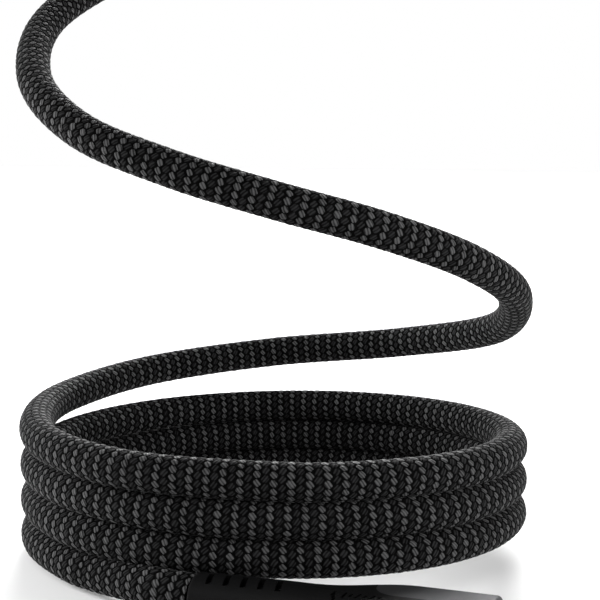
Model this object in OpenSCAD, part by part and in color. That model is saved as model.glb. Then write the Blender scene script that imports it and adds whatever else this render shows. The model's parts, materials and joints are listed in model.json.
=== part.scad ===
// Braided charging cable: one cord wound in a round coil, its upper end rising
// in a loose helix, with the same moulded USB-C plug on each end.
// Millimetres, +Z up. The origin is the centre of plug A's flat underside,
// and plug A points along +X.

/* [Cord] */
// Diameter of the braided cord
cord_d = 5; // [4.5:0.1:5]
// Radius of the coil at the middle of the cord
coil_r = 34; // [33.5:0.1:34.5]
// Height from one turn of the coil to the next
turn_pitch = 4.8; // [4.7:0.05:4.95]

/* [Plug] */
// Width of the plug's head
head_w = 12; // [11.6:0.1:12.4]
// Thickness of the plug's head
head_t = 6.5; // [6.3:0.1:6.6]
// Radius of the head's long edges
head_edge = 2; // [1.6:0.1:2.4]
// Radius of the head's front edge
front_edge = 0.5; // [0.4:0.1:0.8]
// Radius of the strain relief at its rear end
boot_r = 3.05; // [3:0.05:3.15]
// Where the dark grip's step across the head ends
step_x = 8.5; // [7:0.5:9.5]

/* [Strain relief] */
// Number of rings of slots
slot_rings = 5; // [3:1:5]
// Distance from one ring of slots to the next
slot_pitch = 2.25; // [2.1:0.05:2.3]
// Width of a slot
slot_w = 0.75; // [0.5:0.05:0.8]
// Slant of a slot from straight around the strain relief
slot_slant = -8; // [-12:1:12]

/* [USB-C plug] */
// Width of the metal shell
shell_w = 8.25; // [8.2:0.01:8.3]
// Height of the metal shell
shell_h = 2.4; // [2.36:0.01:2.42]
// Thickness of the metal shell's wall
shell_wall = 0.3; // [0.25:0.01:0.32]
// How far the metal shell stands out of the head
shell_out = 6.65; // [6.6:0.01:6.7]
// Distance from one contact to the next
contact_pitch = 0.5; // [0.5:0.1:0.5]

/* [Hidden] */

// Stations along the plug, from the cord's entry to the shell's mouth
x_rear = -23.9;
x_boot_end = -12.9;
x_flare = -8.4;
x_gray = -1.4;
x_wide = 3;
x_front = 13;
x_tip = x_front + shell_out;
neck_r = head_t / 2;

// Stations of the pieces inside it
x_crimp = -15.8;
x_core_end = -13.4;
x_crimp_end = -12.7;
x_mould = -12.5;
x_mould_flat = -8.4;
x_mould_wide = -3.5;
x_board = -3;
x_can = -0.8;
x_sleeve = 0.8;
x_board_end = 7.6;
x_shell = 8.6;
x_can_end = 11.4;

// Sizes of the pieces inside it
gap = 0.1;
core_r = 2.1;
crimp_r = 2.4;
wire_r = 0.42;
board_half = 0.4;
can_w = 9;
can_h = 4;
can_sheet = 0.2;
tongue_w = 6.8;
tongue_h = 0.8;
contact_w = 0.24;
contact_z = 0.52;
latch_y = 3.47;

// Sunken mark on the grip: where it starts, how far it is from the middle and how deep
mark_from = -5.3;
mark_y = -2.1;
mark_deep = 0.25;
mark_line = 0.36;

// The coil: its middle, the angle it starts from, its turns, how high the cord's centre is where
// it passes over plug A's strain relief, and how much its first turns sag beside the plug
coil_x = -28.8;
coil_y = 37.5;
coil_from = 240;
coil_turns = 2.85;
coil_over = 7.65;
over_at = 330;
coil_sag = 0.7;
sag_at = 60;
coil_last = 360 * coil_turns;
ring_half = cord_d / 2 + 0.2;

// The cord's route outside the coil: from plug A to the coil, and from the coil to plug B
lead_route = [
    [-23.9, 0, 3.25], [-29, 0.6, 3.5], [-34.5, 2.8, 3.2], [-40, 5.3, 2.85]
];
rise_route = [
    [-33.5, 3, 17.4], [-50, 10.5, 17.8], [-60.5, 24.5, 18.3], [-65.5, 42.5, 18.8], [-61, 62.5, 20.3],
    [-45, 77.5, 22.3], [-23, 80.5, 24.8], [-4, 69, 29.4], [3.4, 50.5, 36.5], [1.8, 33, 42.4],
    [-6.5, 20, 47.3], [-18.5, 12.5, 51.2], [-32.5, 10.5, 55.2], [-47.5, 13.5, 60.3], [-60.5, 24.5, 68],
    [-67.7, 43, 78], [-63, 64.5, 88], [-49, 79.5, 95], [-32, 86.5, 99]
];

// Where plug B is held: its rear end is the route's last point
plug_b_at = [-32, 86.5, 99];
plug_b_yaw = 18;
plug_b_climb = 12;

tube_sides = 10;
ring_corner_points = 8;

// ---- helpers ----

function mix(a, b, t) = a + (b - a) * t;
function ease(x, from, to) = let (u = min(1, max(0, (x - from) / (to - from)))) u * u * (3 - 2 * u);
function unit(v) = v / norm(v);

// Height of the cord's centre in the coil, by its angle in degrees from the start of the coil
function coil_z(turned) =
    let (beside = (1 + cos(turned - sag_at)) / 2)
    coil_over + turn_pitch * (turned - over_at) / 360
        - coil_sag * (1 - turned / coil_last) * beside * beside;
function coil_point(turned) = [
    coil_x + coil_r * cos(coil_from - turned),
    coil_y + coil_r * sin(coil_from - turned),
    coil_z(turned)
];
coil_top = coil_z(coil_last) - cord_d / 2;

// A smooth curve through the points of a route, with one point added halfway along each span
function halfway(a, b, c, d) = (9 * (b + c) - a - d) / 16;
function smooth(route) =
    let (n = len(route), before = 2 * route[0] - route[1], after = 2 * route[n - 1] - route[n - 2])
    [for (i = [0:n - 1]) each i == n - 1
        ? [route[i]]
        : [route[i], halfway(i == 0 ? before : route[i - 1], route[i], route[i + 1],
            i == n - 2 ? after : route[i + 2])]];

function tangent(path, i) =
    unit(path[min(i + 1, len(path) - 1)] - path[max(i - 1, 0)]);

// One ring of a tube around point i of its path
function tube_ring(path, i, r) =
    let (t = tangent(path, i), side = unit(cross([0, 0, 1], t)), up = cross(t, side))
    [for (k = [0:tube_sides - 1]) let (a = 360 * k / tube_sides)
        path[i] + r * (cos(a) * side + sin(a) * up)];

module tube(path, r) {
    n = len(path);
    m = tube_sides;
    polyhedron(
        points = [for (i = [0:n - 1]) each tube_ring(path, i, r)],
        faces = concat(
            [[for (k = [0:m - 1]) k]],
            [for (i = [0:n - 2]) for (k = [0:m - 1])
                [i * m + k, (i + 1) * m + k, (i + 1) * m + (k + 1) % m, i * m + (k + 1) % m]],
            [[for (k = [m - 1:-1:0]) (n - 1) * m + k]]
        )
    );
}

// The plug's outer section, from a round neck to a flat head with round edges
function wide(x) = ease(x, x_flare, x_wide);
function front_inset(x) =
    let (d = max(0, x - (x_front - front_edge)))
    front_edge - sqrt(max(0, front_edge * front_edge - d * d));
function section_w(x) = mix(neck_r, head_w / 2, wide(x)) - front_inset(x);
function section_h(x) = mix(neck_r, head_t / 2, wide(x)) - front_inset(x);
function section_c(x) = mix(neck_r, head_edge, wide(x)) - front_inset(x);
function section_ring(x) =
    let (m = ring_corner_points, c = section_c(x), r = c / cos(45 / m),
        y = section_w(x) - c, z = section_h(x) - c)
    [for (q = [0:3]) for (k = [0:m - 1]) let (a = 90 * q + (k + 0.5) * 90 / m)
        [x, (q == 0 || q == 3 ? y : -y) + r * cos(a), (q < 2 ? z : -z) + r * sin(a)]];

body_stations = concat(
    [for (i = [0:12]) mix(x_flare, x_wide, i / 12)],
    [for (x = [5, 7, 9, 11]) x],
    [for (a = [0:15:90]) x_front - front_edge + front_edge * sin(a)]
);

module head_body() {
    n = len(body_stations);
    m = 4 * ring_corner_points;
    polyhedron(
        points = [for (x = body_stations) each section_ring(x)],
        faces = concat(
            [[for (k = [0:m - 1]) k]],
            [for (i = [0:n - 2]) for (k = [0:m - 1])
                [i * m + k, (i + 1) * m + k, (i + 1) * m + (k + 1) % m, i * m + (k + 1) % m]],
            [[for (k = [m - 1:-1:0]) (n - 1) * m + k]]
        )
    );
}

// A cylinder along +X
module rod(x, length, r, fn = 48) {
    translate([x, 0, 0])
        rotate([0, 90, 0])
            cylinder(h = length, r = r, $fn = fn);
}

// A block by its lowest X, its length, its width and its height, centred in Y and Z
module block(x, length, width, height, z = 0) {
    translate([x, -width / 2, z - height / 2])
        cube([length, width, height]);
}

// A flat section with fully round ends, drawn along +X
module stadium(x, length, width, height) {
    translate([x, 0, 0])
        rotate([90, 0, 90])
            linear_extrude(length) {
                square([width - height, height], center = true);
                for (side = [-1, 1])
                    translate([side * (width - height) / 2, 0])
                        circle(d = height, $fn = 48);
            }
}

// ---- the cord ----

module ring() {
    translate([coil_x, coil_y, 0])
        rotate_extrude($fn = 96)
            translate([coil_r - ring_half, 0])
                square([2 * ring_half, coil_top]);
}

// The turns as one ring, with a channel where plug A's strain relief passes under them
module cord_coil() {
    channel_half = boot_r + 0.4;
    channel_length = 14;
    color("#3a3a3c")
        difference() {
            ring();
            translate([0, 0, head_t / 2])
                rod(x_rear, channel_length, channel_half);
            translate([x_rear, -channel_half, -1])
                cube([channel_length, 2 * channel_half, head_t / 2 + 1]);
        }
}

// The plug's own length of the cord's path, which the plug's pieces fill
module plug_room(end) {
    at_plug(end)
        block(x_rear, 12, 3 * boot_r, 3 * boot_r);
}

module cord_lead() {
    inside = [x_rear + 2, 0, head_t / 2];
    color("#3a3a3c")
        difference() {
            tube(smooth(concat([inside], lead_route, [coil_point(0), coil_point(12)])), cord_d / 2);
            ring();
            plug_room("a");
        }
}

module cord_rise() {
    inside = plug_b_at + [2, 0.6, 0.4];
    color("#3a3a3c")
        difference() {
            tube(smooth(concat([coil_point(coil_last - 30), coil_point(coil_last)], rise_route,
                [inside])), cord_d / 2);
            ring();
            plug_room("b");
        }
}

// ---- where each plug lies ----

module at_plug(end) {
    if (end == "a")
        translate([0, 0, head_t / 2])
            children();
    else
        translate(plug_b_at)
            rotate([0, -plug_b_climb, plug_b_yaw])
                translate([-x_rear, 0, 0])
                    children();
}

// ---- outer pieces of a plug ----

// The part of the plug that is the light front shell: it reaches back along one side of the
// head, and the dark grip reaches forward along the other
module front_zone() {
    inner = 3;
    outer = 1.8;
    edge_y = -0.5;
    translate([0, 0, -head_t])
        linear_extrude(2 * head_t)
            difference() {
                translate([x_gray, -head_w])
                    square([x_front - x_gray + 1, 2 * head_w]);
                translate([x_gray - 1, -head_w - 1])
                    square([step_x - outer - x_gray + 1, head_w + 1 + edge_y]);
                translate([step_x - outer - 1, -head_w - 1])
                    square([outer + 1, head_w + 1 + edge_y - outer]);
                translate([step_x - outer, edge_y - outer])
                    circle(r = outer, $fn = 96);
                difference() {
                    translate([x_gray - 1, edge_y - 1])
                        square([inner + 1, inner + 1]);
                    translate([x_gray + inner, edge_y + inner])
                        circle(r = inner, $fn = 96);
                }
            }
}

// The grip's own sleeve, which the front shell is pushed over
module sleeve(clearance) {
    stadium(x_sleeve, x_can_end - x_sleeve + gap + clearance, can_w + 0.96 + clearance,
        can_h + 0.76 + clearance);
}

// Room for the shield can and the metal shell
module can_room() {
    stadium(x_can - gap, x_can_end - x_can + 2 * gap, can_w + gap, can_h + gap);
    stadium(x_can_end - 0.4, 3, shell_w + gap, shell_h + gap);
}

slot_long = 2;

module slot(x, around) {
    translate([x, 0, 0])
        rotate([around, 0, 0])
            translate([0, 0, boot_r])
                rotate([0, 0, -slot_slant])
                    cube([slot_w, slot_long, 2], center = true);
}

// Round sleeve of the strain relief, with a rounded rear end
boot_edge = 0.6;

module boot() {
    rotate([0, 90, 0])
        rotate_extrude($fn = 64)
            polygon(concat(
                [[0, x_rear]],
                [for (a = [0:15:90])
                    [boot_r - boot_edge * (1 - sin(a)), x_rear + boot_edge * (1 - cos(a))]],
                [[neck_r, x_boot_end], [neck_r, x_flare + 0.4], [0, x_flare + 0.4]]));
}

// Height of the plug's upper surface above its axis
function top_z(x, y) =
    let (c = section_c(x), d = max(0, abs(y) - (section_w(x) - c)))
    section_h(x) - c + sqrt(c * c - d * d);

// One sunken bar of the mark
module mark_bar(x, y, length, turn) {
    translate([x, y, top_z(x, y) - mark_deep])
        rotate([0, 0, turn])
            translate([-mark_line / 2, -length / 2, 0])
                cube([mark_line, length, 2]);
}

// A flash and a row of slanted bars
module mark_grooves() {
    for (side = [-1, 1])
        mark_bar(mark_from - side * 0.15, mark_y + side * 0.45, 0.95, -24);
    mark_bar(mark_from, mark_y, 1, 0);
    for (i = [0:5])
        mark_bar(mark_from + 1.3 + 0.85 * i, mark_y, i % 2 == 0 ? 1.5 : 0.9, -12);
}

first_slot = 2.4;
slot_around = 20;

module overmould(end) {
    color("#38383a")
        at_plug(end)
            difference() {
                union() {
                    boot();
                    difference() {
                        head_body();
                        front_zone();
                    }
                    sleeve(0);
                }
                rod(x_rear - 1, x_core_end - x_rear + 1, core_r, 64);
                rod(x_crimp - gap, x_mould - x_crimp + gap, crimp_r + 0.05, 64);
                rod(x_mould - gap, x_mould_flat - x_mould + gap, 2.3, 48);
                stadium(x_mould_flat - gap, 5.1, 5.3, can_h + gap);
                stadium(x_mould_wide - gap, 3, 7.3, can_h + gap);
                can_room();
                for (i = [0:slot_rings - 1])
                    for (q = [0:3])
                        slot(x_rear + first_slot + slot_pitch * i, slot_around + 90 * q);
                mark_grooves();
            }
}

module front_shell(end) {
    color("#77787b")
        at_plug(end)
            difference() {
                intersection() {
                    head_body();
                    front_zone();
                }
                sleeve(0.04);
                can_room();
            }
}

// ---- pieces inside a plug ----

// End of the jacketed core, inside the strain relief
module cable_end(end) {
    color("#1c1c1e")
        at_plug(end)
            rod(x_rear, x_core_end - x_rear, core_r, 64);
}

// Ring pressed onto the core, which keeps a pull on the cord away from the conductors
module crimp_ring(end) {
    color("#2c2c2e")
        at_plug(end)
            difference() {
                rod(x_crimp, x_crimp_end - x_crimp, crimp_r, 64);
                rod(x_crimp - 1, x_crimp_end - x_crimp + 2, core_r + 0.02, 64);
            }
}

// Two rows of conductors, so that each lies on one face of the board
wire_places = [for (y = [-1.1, 0, 1.1]) for (side = [-1, 1]) [y, side * (wire_r + board_half)]];

module wire_rods(x, length, r) {
    for (p = wire_places)
        translate([0, p[0], p[1]])
            rod(x, length, r, 24);
}

// Six insulated conductors, from the core's end to the board
module wires(end) {
    color("#a33b32")
        at_plug(end)
            wire_rods(x_core_end + 0.05, 12, wire_r);
}

// Hard block moulded round the conductors behind the board
module inner_mould(end) {
    color("#303032")
        at_plug(end)
            difference() {
                union() {
                    rod(x_mould, x_mould_flat - x_mould, 2.25, 48);
                    stadium(x_mould_flat, x_mould_wide - x_mould_flat, 5.2, can_h);
                    stadium(x_mould_wide, 2.5, 7.2, can_h);
                }
                wire_rods(x_mould - 1, 14, wire_r + 0.02);
                block(x_board - 0.04, 3, 5.44, 2 * board_half + 0.04);
            }
}

// Pressed metal can round the board
module shield_can(end) {
    color("#b9bbbe")
        at_plug(end)
            difference() {
                stadium(x_can, x_can_end - x_can, can_w, can_h);
                stadium(x_can + can_sheet, x_can_end - x_can - 2 * can_sheet, can_w - 2 * can_sheet,
                    can_h - 2 * can_sheet);
                block(x_can - 0.7, 1.4, 5.6, 2.6);
                stadium(x_can_end - 0.9, 2, shell_w + 0.04, shell_h + 0.04);
            }
}

module board(end) {
    color("#1f6b46")
        at_plug(end)
            block(x_board, x_board_end - x_board, 5.4, 2 * board_half);
}

module marker_chip(end) {
    color("#202124")
        at_plug(end)
            block(0.6, 2, 2, 0.6, 0.7);
}

// Capacitors and resistors on the board
module passives(end) {
    color("#b98f5a")
        at_plug(end)
            for (p = [[3.7, -1.7], [3.7, 0], [3.7, 1.7], [5.3, -1], [5.3, 1]])
                translate([0, p[1], 0])
                    block(p[0], 1, 0.5, 0.5, 0.65);
}

module usb_shell(end) {
    color("#c9cbce")
        at_plug(end)
            difference() {
                stadium(x_shell, x_tip - x_shell, shell_w, shell_h);
                stadium(x_shell - 1, x_tip - x_shell + 2, shell_w - 2 * shell_wall,
                    shell_h - 2 * shell_wall);
            }
}

contact_row = [for (i = [0:11]) contact_pitch * (i - 5.5)];
x_block = x_board_end + gap;
x_contact = x_board_end - 1;
x_contact_end = x_tip - 1.2;
x_latch = 9.5;

// Moulded insulator inside the metal shell, with the slot that the socket's tongue enters
module contact_block(end) {
    color("#17181a")
        at_plug(end)
            difference() {
                stadium(x_block, x_tip - 0.35 - x_block, shell_w - 2 * shell_wall - 0.04,
                    shell_h - 2 * shell_wall - 0.04);
                block(x_tip - 5.6, 6, tongue_w, tongue_h);
                for (y = contact_row)
                    for (side = [-1, 1])
                        translate([0, y, 0])
                            block(x_block - 0.7, x_contact_end + gap - x_block + 0.7,
                                contact_w + 0.02, contact_w + 0.06, side * contact_z);
                for (side = [-1, 1])
                    translate([0, side * (latch_y - 0.01), 0])
                        block(x_latch - gap, x_tip - 1.2 - x_latch + gap, 0.3, 0.5);
            }
}

module contact_bars(side) {
    for (y = contact_row)
        translate([0, y, 0])
            block(x_contact, x_contact_end - x_contact, contact_w, contact_w, side * contact_z);
}

module contacts_upper(end) {
    color("#d9b45a")
        at_plug(end)
            contact_bars(1);
}

module contacts_lower(end) {
    color("#d9b45a")
        at_plug(end)
            contact_bars(-1);
}

// Side latches that catch the socket's tongue
module latches(end) {
    color("#c9cbce")
        at_plug(end)
            for (side = [-1, 1])
                translate([0, side * latch_y, 0])
                    block(x_latch, x_tip - 1.4 - x_latch, 0.2, 0.44);
}

// Ground springs behind the slot's lips, in the shell's roof and floor
module ground_springs(end) {
    color("#c9cbce")
        at_plug(end)
            for (side = [-1, 1])
                block(x_tip - 0.3, 0.22, 5.4, 0.24, side * 0.74);
}

cord_coil();
cord_lead();
cord_rise();
for (end = ["a", "b"]) {
    overmould(end);
    front_shell(end);
    cable_end(end);
    crimp_ring(end);
    wires(end);
    inner_mould(end);
    shield_can(end);
    board(end);
    marker_chip(end);
    passives(end);
    usb_shell(end);
    contact_block(end);
    contacts_upper(end);
    contacts_lower(end);
    latches(end);
    ground_springs(end);
}
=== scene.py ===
"""Looks of a braided charging cable: the woven cord, the materials of its two plugs, the
light and the camera. The cord's and the camera's numbers are millimetres in the part's own
frame, and those of the lights, floor and materials are metres."""

import json
import math

import bpy
import numpy as np
from mathutils import Matrix, Vector


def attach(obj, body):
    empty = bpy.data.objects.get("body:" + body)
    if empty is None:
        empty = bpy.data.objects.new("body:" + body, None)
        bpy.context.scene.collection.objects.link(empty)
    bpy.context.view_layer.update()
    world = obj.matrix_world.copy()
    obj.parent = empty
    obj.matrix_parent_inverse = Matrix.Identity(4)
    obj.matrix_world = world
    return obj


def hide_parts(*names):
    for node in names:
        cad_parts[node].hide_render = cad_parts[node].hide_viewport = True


MM = 0.001
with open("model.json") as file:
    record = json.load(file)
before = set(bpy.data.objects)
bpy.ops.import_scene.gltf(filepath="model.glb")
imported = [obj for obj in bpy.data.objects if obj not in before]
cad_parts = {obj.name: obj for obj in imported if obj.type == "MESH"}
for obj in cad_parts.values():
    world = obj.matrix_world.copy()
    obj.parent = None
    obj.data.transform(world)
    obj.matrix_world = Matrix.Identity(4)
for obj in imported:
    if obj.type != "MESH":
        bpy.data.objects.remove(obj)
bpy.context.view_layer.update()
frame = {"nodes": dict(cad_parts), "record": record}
scene = bpy.context.scene

# ---- camera ----

CAMERA_AT = (51.3, -160.8, 58.2)
CAMERA_YAW = 22.0
CAMERA_DOWN = 5.96
CAMERA_ROLL = 0.2
CAMERA_LENS = 89.4
CAMERA_SENSOR = 36.0
CAMERA_SHIFT = 0.043


def make_camera():
    data = bpy.data.cameras.new("camera")
    data.lens = CAMERA_LENS
    data.sensor_width = CAMERA_SENSOR
    data.shift_x = CAMERA_SHIFT
    data.clip_start = 10 * MM
    camera = bpy.data.objects.new("camera", data)
    scene.collection.objects.link(camera)
    yaw, down = math.radians(CAMERA_YAW), math.radians(CAMERA_DOWN)
    level = math.cos(down)
    ahead = Vector((-math.sin(yaw) * level, math.cos(yaw) * level, -math.sin(down)))
    roll = Matrix.Rotation(math.radians(CAMERA_ROLL), 4, "Z").to_quaternion()
    camera.rotation_mode = "QUATERNION"
    camera.rotation_quaternion = ahead.to_track_quat("-Z", "Y")
    camera.rotation_quaternion @= roll
    camera.location = Vector(CAMERA_AT) * MM
    scene.camera = camera


# ---- the cord's route: part.scad has the same points ----

CORD_D = 5.0
COIL_AT = (-28.8, 37.5)
COIL_R = 34.0
TURN_PITCH = 4.8
COIL_FROM = 240.0
COIL_TURNS = 2.85
COIL_OVER = 7.65
OVER_AT = 330.0
COIL_SAG = 0.7
SAG_AT = 60.0
COIL_STEPS = 57

LEAD_ROUTE = [(-23.9, 0, 3.25), (-29, 0.6, 3.5), (-34.5, 2.8, 3.2), (-40, 5.3, 2.85)]
RISE_ROUTE = [
    (-33.5, 3, 17.4), (-50, 10.5, 17.8), (-60.5, 24.5, 18.3), (-65.5, 42.5, 18.8),
    (-61, 62.5, 20.3), (-45, 77.5, 22.3), (-23, 80.5, 24.8), (-4, 69, 29.4),
    (3.4, 50.5, 36.5), (1.8, 33, 42.4), (-6.5, 20, 47.3), (-18.5, 12.5, 51.2),
    (-32.5, 10.5, 55.2), (-47.5, 13.5, 60.3), (-60.5, 24.5, 68), (-67.7, 43, 78),
    (-63, 64.5, 88), (-49, 79.5, 95), (-32, 86.5, 99),
]


def coil_height(turned):
    """Height of the cord's centre: turn lies on turn, and the first turns sag beside plug A."""
    last = 360.0 * COIL_TURNS
    beside = (1 + math.cos(math.radians(turned - SAG_AT))) / 2
    return (COIL_OVER + TURN_PITCH * (turned - OVER_AT) / 360.0
            - COIL_SAG * (1 - turned / last) * beside ** 2)


def coil_route():
    points = []
    for i in range(COIL_STEPS + 1):
        turned = 360.0 * COIL_TURNS * i / COIL_STEPS
        angle = math.radians(COIL_FROM - turned)
        points.append((COIL_AT[0] + COIL_R * math.cos(angle),
                       COIL_AT[1] + COIL_R * math.sin(angle),
                       coil_height(turned)))
    return points


def smooth_curve(points, steps=24):
    """A Catmull-Rom curve through the points."""
    p = np.array(points, float)
    p = np.vstack([2 * p[0] - p[1], p, 2 * p[-1] - p[-2]])
    t = np.arange(steps)[:, None] / steps
    spans = []
    for a, b, c, d in zip(p[:-3], p[1:-2], p[2:-1], p[3:]):
        spans.append(0.5 * (2 * b + (c - a) * t + (2 * a - 5 * b + 4 * c - d) * t ** 2
                            + (3 * b - a - 3 * c + d) * t ** 3))
    spans.append(p[-2:-1])
    return np.vstack(spans)


def along(points):
    """The distance along the curve to each of its points."""
    return np.concatenate([[0.0], np.cumsum(np.linalg.norm(np.diff(points, axis=0), axis=1))])


class Route:
    """The cord's centreline, with a frame that doesn't twist: ahead, out and up."""

    def __init__(self, points):
        self.points = points
        self.s = along(points)
        self.length = self.s[-1]
        ahead = np.gradient(points, self.s, axis=0)
        self.ahead = ahead / np.linalg.norm(ahead, axis=1)[:, None]
        out = np.array([0.0, -1.0, 0.0])
        outs = []
        for t in self.ahead:
            out = out - t * (out @ t)
            out = out / np.linalg.norm(out)
            outs.append(out)
        self.out = np.array(outs)
        self.up = np.cross(self.ahead, self.out)

    def _at(self, values, s):
        return np.stack([np.interp(s, self.s, values[:, k]) for k in range(3)], axis=-1)

    def surface(self, s, angle, r):
        """Points at distance s along the cord, at an angle round it and a radius. The braid
        stands a little fuller where it enters a grip."""
        s = np.clip(s, 0.0, self.length)
        from_grip = np.minimum(s, self.length - s)
        r = r + BUNCH * np.exp(-(from_grip / BUNCH_LONG) ** 2)
        out, up = self._at(self.out, s), self._at(self.up, s)
        ring = np.cos(angle)[..., None] * out + np.sin(angle)[..., None] * up
        return self._at(self.points, s) + r[..., None] * ring


# ---- meshes ----


def add_mesh(name, vertices, faces, materials, weave=None):
    """A smooth mesh object from points in millimetres. weave holds, for each vertex, its place
    along and across its own strand and the strand's tone."""
    mesh = bpy.data.meshes.new(name)
    mesh.from_pydata((np.asarray(vertices) * MM).tolist(), [], np.asarray(faces).tolist())
    mesh.polygons.foreach_set("use_smooth", [True] * len(mesh.polygons))
    for material in materials:
        mesh.materials.append(material)
    if weave is not None:
        layer = mesh.attributes.new("weave", "FLOAT_VECTOR", "POINT")
        layer.data.foreach_set("vector", np.asarray(weave, np.float32).ravel())
    mesh.update()
    piece = bpy.data.objects.new(name, mesh)
    scene.collection.objects.link(piece)
    return piece


def grid_faces(rows, columns, closed=False):
    """Quads over a grid of vertices, round the columns too if it is closed."""
    across = columns if closed else columns - 1
    row, column = np.meshgrid(np.arange(rows - 1), np.arange(across), indexing="ij")
    beside = (column + 1) % columns
    here, above = row * columns, (row + 1) * columns
    quads = [here + column, here + beside, above + beside, above + column]
    return np.stack(quads, -1).reshape(-1, 4)


# ---- the braid ----

STRANDS = 14            # each way round the cord
REPEAT = 2.03           # of the weave, along the cord
CORE_R = 2.44
CORE_SIDES = 28
CORE_STEP = 1.6
TOP_R = 2.49            # middle of a float: a strand's length on top of the others
FLOAT_HALF = 0.82       # half of a float's length, in diagonals of the weave
FLOAT_TILT = 7.0        # degrees off that diagonal
FLOAT_WIDE = 0.41       # half of its width
FLOAT_PINCH = 0.16      # part of the width lost at its ends
FLOAT_DIVE = 0.09       # how far its ends drop, and then its edges
EDGE_DROP = 0.06
LIFT_SPREAD = 0.006     # differences from float to float
SKEW_SPREAD = 0.04
ROWS, COLUMNS = 6, 5    # of vertices in a float
SEEDS = {1: 7, -1: 11}
BUNCH = 0.25            # how much fuller the braid stands at a grip, and over what length
BUNCH_LONG = 4.5


def braid_floats(route, first, last, hand, offset):
    """The visible lengths of one set of strands, each over two strands of the other set.
    hand is which way the set turns round the cord, and offset its place in the repeat."""
    step = REPEAT / 4
    turn = math.pi / STRANDS
    radius = CORD_D / 2
    rng = np.random.default_rng(SEEDS[hand])
    repeats = np.arange(round(first / REPEAT), round(last / REPEAT))
    repeat, strand = np.meshgrid(repeats, np.arange(STRANDS), indexing="ij")
    count = repeat.size
    middle_s = ((4 * repeat + offset) * step + step).reshape(-1, 1, 1)
    middle_a = ((2 * strand + 0.5 * hand) * turn).reshape(-1, 1, 1)
    tone, lift, skew = (rng.normal(0.0, spread, count)[:, None, None]
                        for spread in (1.0, LIFT_SPREAD, SKEW_SPREAD))

    u = np.linspace(-1, 1, ROWS)[None, :, None]
    v = np.linspace(-1, 1, COLUMNS)[None, None, :]
    direction = math.atan2(turn * radius, step) + math.radians(FLOAT_TILT)
    forward = u * FLOAT_HALF * math.hypot(turn * radius, step)
    sideways = v * FLOAT_WIDE * (1.0 - FLOAT_PINCH * np.abs(u) ** 3) + skew * u * 0.5
    s = middle_s + forward * math.cos(direction) - sideways * math.sin(direction)
    arc = forward * math.sin(direction) + sideways * math.cos(direction)
    angle = middle_a + hand * arc / radius
    r = TOP_R + lift - FLOAT_DIVE * np.abs(u) ** 3.0 - EDGE_DROP * np.abs(v) ** 2.4
    points = route.surface(s, angle, np.broadcast_to(r, s.shape))

    weave = np.stack(np.broadcast_arrays(u, v, tone), -1)
    one = grid_faces(ROWS, COLUMNS)
    if hand < 0:
        one = one[:, ::-1]
    faces = one[None] + (np.arange(count) * ROWS * COLUMNS)[:, None, None]
    return points.reshape(-1, 3), faces.reshape(-1, 4), weave.reshape(-1, 3)


def make_core(route, material):
    rings = int(route.length / CORE_STEP)
    s = np.linspace(0.0, route.length, rings)
    angle = 2 * math.pi * np.arange(CORE_SIDES) / CORE_SIDES
    s, angle = np.meshgrid(s, angle, indexing="ij")
    points = route.surface(s, angle, np.full(s.shape, CORE_R)).reshape(-1, 3)
    return add_mesh("cord_core", points, grid_faces(rings, CORE_SIDES, closed=True), [material])


# ---- materials ----


def gray(v):
    """A very slightly cool grey."""
    return (v, v, v * 1.04)


class Shader:
    """A Principled material, with short calls to add its nodes."""

    def __init__(self, name, **settings):
        self.material = bpy.data.materials.new(name)
        self.material.use_nodes = True
        self.tree = self.material.node_tree
        self.principled = self.tree.nodes["Principled BSDF"]
        for socket, value in settings.items():
            self.principled.inputs[socket.replace("_", " ")].default_value = value

    def node(self, kind, inputs=None, **settings):
        made = self.tree.nodes.new(kind)
        for key, value in settings.items():
            setattr(made, key, value)
        for key, value in (inputs or {}).items():
            if isinstance(value, bpy.types.NodeSocket):
                self.tree.links.new(value, made.inputs[key])
            else:
                made.inputs[key].default_value = value
        return made

    def math(self, operation, a, b=0.0, c=0.0):
        return self.node("ShaderNodeMath", {0: a, 1: b, 2: c}, operation=operation).outputs[0]

    def color(self, value, low, high, between=(0.3, 0.7)):
        """The base colour runs from low to high while value runs between two places."""
        made = self.node("ShaderNodeValToRGB", {"Fac": value})
        for element, place, color in zip(made.color_ramp.elements, between, (low, high)):
            element.position = place
            element.color = (*color, 1.0)
        self.link(made.outputs["Color"], "Base Color")

    def roughness(self, value, middle, spread):
        """The roughness follows value, from 0 to 1, over a spread round its middle."""
        self.link(self.math("MULTIPLY_ADD", value, spread, middle - spread / 2), "Roughness")

    def noise(self, scale, detail=3.0, vector=None, roughness=0.5):
        vector = vector or self.place()
        return self.node("ShaderNodeTexNoise",
                         {"Vector": vector, "Scale": scale, "Detail": detail,
                          "Roughness": roughness}).outputs["Fac"]

    def place(self):
        return self.node("ShaderNodeTexCoord").outputs["Object"]

    def bump(self, height, distance, strength):
        made = self.node("ShaderNodeBump",
                         {"Height": height, "Distance": distance, "Strength": strength})
        self.link(made.outputs["Normal"], "Normal")

    def link(self, value, socket):
        self.tree.links.new(value, self.principled.inputs[socket])


# How light a strand is: its filaments, flecks and own tone, and the painted shade of its ends and
# edges, where it dives under its neighbours.
STREAK_LIGHT, FLECK_LIGHT, TONE_LIGHT = 0.75, 0.35, 0.06
END_PAINTED_SHADE, EDGE_PAINTED_SHADE = -0.8, -0.4
FILAMENTS, FILAMENT_WANDER = 1.05, 0.9
WANDER_SCALE, FLECK_SCALE = 700.0, 2600.0


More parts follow.
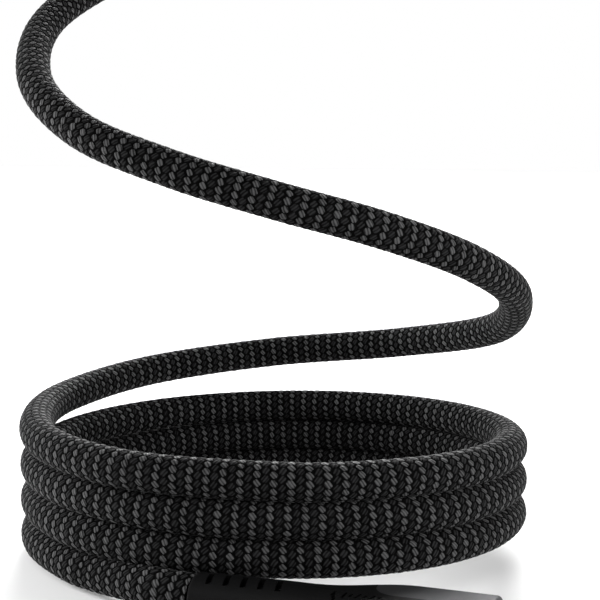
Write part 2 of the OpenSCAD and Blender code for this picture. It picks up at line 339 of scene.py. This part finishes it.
def strand_material(name, low, high, roughness, gloss, sheen):
    """Yarn of parallel filaments: streaks along the strand, each strand a little lighter or
    darker than the next, and painted shade where it dives under its neighbours, darker towards
    its ends and edges."""
    made = Shader(name, Roughness=roughness, Specular_IOR_Level=gloss,
                  Sheen_Weight=sheen, Sheen_Roughness=0.4)
    weave = made.node("ShaderNodeAttribute", attribute_name="weave").outputs["Vector"]
    split = made.node("ShaderNodeSeparateXYZ", {"Vector": weave})
    u, v, tone = split.outputs
    wander = made.math("MULTIPLY", made.noise(WANDER_SCALE, 2.0), FILAMENT_WANDER)
    across = made.math("ADD", made.math("MULTIPLY_ADD", v, FILAMENTS, wander), tone)
    streak = made.math("MULTIPLY", made.math("PINGPONG", across, 0.5), 2.0)
    light = made.math("MULTIPLY", made.noise(FLECK_SCALE, 2.0), FLECK_LIGHT)
    light = made.math("MULTIPLY_ADD", streak, STREAK_LIGHT, light)
    light = made.math("MULTIPLY_ADD", tone, TONE_LIGHT, light)
    # painted shade: the colour darkens towards the strand's ends and edges, where it dives under
    # its neighbours
    end_shade = made.math("POWER", made.math("ABSOLUTE", u), 4.0)
    edge_shade = made.math("POWER", made.math("ABSOLUTE", v), 5.0)
    light = made.math("MULTIPLY_ADD", end_shade, END_PAINTED_SHADE, light)
    light = made.math("MULTIPLY_ADD", edge_shade, EDGE_PAINTED_SHADE, light)
    made.color(light, low, high, between=(0.05, 0.8))
    made.bump(streak, 0.06 * MM, 0.9)
    return made.material


def gap_shade_material():
    """What shows in the gaps of the braid: near black, as painted shade in the gaps between the
    strands.
    """
    made = Shader("braid_gap_painted_shade", Roughness=0.9, Specular_IOR_Level=0.02)
    # painted shade: the near-black colour stands in for the shadow in the braid's gaps
    made.color(made.noise(1500.0), (0.001, 0.001, 0.001), (0.003, 0.003, 0.003), (0.3, 0.8))
    return made.material


def moulded_material(name, low, high, roughness, grain, gloss=0.45):
    """Moulded plastic or rubber, with a fine grain and slightly uneven gloss."""
    made = Shader(name, Specular_IOR_Level=gloss)
    broad = made.noise(120.0, 4.0)
    made.color(broad, low, high)
    made.roughness(broad, roughness, 0.14)
    made.bump(made.noise(grain, 3.0, roughness=0.6), 0.02 * MM, 0.5)
    return made.material


def metal_material(name, low, high, roughness, stretch=(1.0, 12.0, 12.0)):
    """Drawn or blasted metal, with fine marks along the plug."""
    made = Shader(name, Metallic=1.0)
    marks = made.node("ShaderNodeMapping", {"Vector": made.place(), "Scale": stretch})
    fine = made.noise(900.0, 4.0, marks.outputs["Vector"])
    made.color(fine, low, high)
    made.roughness(fine, roughness, 0.16)
    made.bump(fine, 0.006 * MM, 0.4)
    return made.material


def node_materials():
    """One material for each of the record's slots, apart from the cord's own: two colours, the
    roughness, and the scale and gloss of moulded ones or the stretch of a metal's marks."""
    moulded = {
        "grip": (gray(0.003), gray(0.004), 0.5, 2600.0, 0.08),
        "core": (gray(0.008), gray(0.013), 0.5, 1800.0),
        "insulation": ((0.36, 0.03, 0.02), (0.46, 0.05, 0.03), 0.4, 1500.0),
        "inner_mould": (gray(0.006), gray(0.01), 0.5, 1500.0),
        "board": ((0.01, 0.12, 0.055), (0.016, 0.16, 0.075), 0.25, 900.0),
        "chip": (gray(0.012), gray(0.02), 0.45, 1500.0),
        "passives": ((0.38, 0.25, 0.12), (0.46, 0.31, 0.16), 0.4, 1500.0),
        "insulator": (gray(0.009), gray(0.014), 0.4, 1500.0),
    }
    metal = {
        "front_shell": (gray(0.09), gray(0.105), 0.62, (3.0, 3.0, 3.0)),
        # painted shade: the crimp is near black so that the slots of the plug's boot look deep
        # and dark
        "crimp": (gray(0.02), gray(0.035), 0.5),
        "shield": (gray(0.48), gray(0.58), 0.3),
        "plug_steel": (gray(0.56), gray(0.68), 0.22),
        "gold": ((0.7, 0.47, 0.16), (0.85, 0.6, 0.25), 0.22),
        "spring_steel": (gray(0.5), gray(0.6), 0.3),
    }
    made = {name: moulded_material(name, *values) for name, values in moulded.items()}
    made.update({name: metal_material(name, *values) for name, values in metal.items()})
    return made


def dress_nodes():
    """Give each CAD node of the plugs its slot's material. The cord's nodes are replaced."""
    made = node_materials()
    for subpart in frame["record"]["subparts"]:
        if subpart["material_slot"] in made:
            materials = frame["nodes"][subpart["node"]].data.materials
            materials.clear()
            materials.append(made[subpart["material_slot"]])


# ---- the cord ----


def make_cord():
    """The core and the braid over it, in the place of the CAD's three lengths of cord."""
    route = Route(smooth_curve(LEAD_ROUTE + coil_route() + RISE_ROUTE))
    split = along(smooth_curve(LEAD_ROUTE + coil_route()))[-1]
    core = make_core(route, gap_shade_material())
    light = strand_material("strand_light", (0.0015, 0.0015, 0.0015), (0.068, 0.068, 0.069),
                            0.6, 0.06, 0.06)
    dark = strand_material("strand_dark", (0.0004, 0.0004, 0.0004), (0.0175, 0.0175, 0.0179),
                           0.65, 0.02, 0.02)
    braid = []
    for stretch, first, last in (("coil", 0.0, split), ("rise", split, route.length)):
        for name, material, hand, offset in (("light", light, 1, -0.5), ("dark", dark, -1, 1.5)):
            points, faces, weave = braid_floats(route, first, last, hand, offset)
            braid.append(add_mesh(f"braid_{name}_{stretch}", points, faces, [material], weave))
    for piece in (core, *braid):
        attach(piece, "root")
    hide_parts("cord_coil", "cord_lead", "cord_rise")


# ---- floor and light ----

FLOOR_HALF = 3.0
LIGHT_AIM = (-0.028, 0.038, 0.03)


def make_floor():
    corners = [(x * FLOOR_HALF, y * FLOOR_HALF, 0.0)
               for x, y in ((-1, -1), (1, -1), (1, 1), (-1, 1))]
    mesh = bpy.data.meshes.new("floor")
    mesh.from_pydata(corners, [], [(0, 1, 2, 3)])
    floor = bpy.data.objects.new("floor", mesh)
    scene.collection.objects.link(floor)
    made = Shader("floor", Roughness=0.6, Specular_IOR_Level=0.2, Base_Color=(0.8, 0.8, 0.8, 1.0))
    mesh.materials.append(made.material)


def add_light(name, kind, at, energy, **settings):
    """A light that points at the middle of the cable. Area lights, which are low and close,
    don't mirror in gloss."""
    data = bpy.data.lights.new(name, kind)
    data.energy = energy
    for key, value in settings.items():
        setattr(data, key, value)
    light = bpy.data.objects.new(name, data)
    light.location = at
    light.rotation_mode = "QUATERNION"
    light.rotation_quaternion = (Vector(LIGHT_AIM) - Vector(at)).to_track_quat("-Z", "Y")
    light.visible_glossy = kind == "SUN"
    scene.collection.objects.link(light)


def make_world():
    """A studio that is white round the horizon, and dimmer overhead and in front."""
    world = bpy.data.worlds.new("studio")
    world.use_nodes = True
    tree = world.node_tree
    split = tree.nodes.new("ShaderNodeSeparateXYZ")
    tree.links.new(tree.nodes.new("ShaderNodeTexCoord").outputs["Generated"], split.inputs[0])
    fades = []
    for axis, values in (("Z", (0.25, 0.75, 1.0, 0.2)), ("Y", (-0.8, -0.1, 0.35, 1.0))):
        fade = tree.nodes.new("ShaderNodeMapRange")
        fade.interpolation_type = "SMOOTHSTEP"
        for key, value in zip(("From Min", "From Max", "To Min", "To Max"), values):
            fade.inputs[key].default_value = value
        tree.links.new(split.outputs[axis], fade.inputs["Value"])
        fades.append(fade.outputs["Result"])
    product = tree.nodes.new("ShaderNodeMath")
    product.operation = "MULTIPLY"
    for fade, entry in zip(fades, product.inputs):
        tree.links.new(fade, entry)
    background = tree.nodes["Background"]
    tree.links.new(product.outputs[0], background.inputs["Strength"])
    background.inputs["Color"].default_value = (1.0, 1.0, 1.0, 1.0)
    scene.world = world


def make_light():
    scene.view_settings.view_transform = "Standard"
    add_light("left", "AREA", (-0.65, 0.0, 0.12), 12.0, shape="DISK", size=0.4)
    add_light("right", "AREA", (0.6, 0.05, 0.1), 5.0, shape="DISK", size=0.4)
    add_light("back", "SUN", (-0.25, 0.8, 0.42), 3.6, angle=math.radians(30))
    add_light("front", "SUN", (-0.1, -0.75, 0.7), 1.3, angle=math.radians(40))


make_camera()
make_cord()
dress_nodes()
make_floor()
make_world()
make_light()
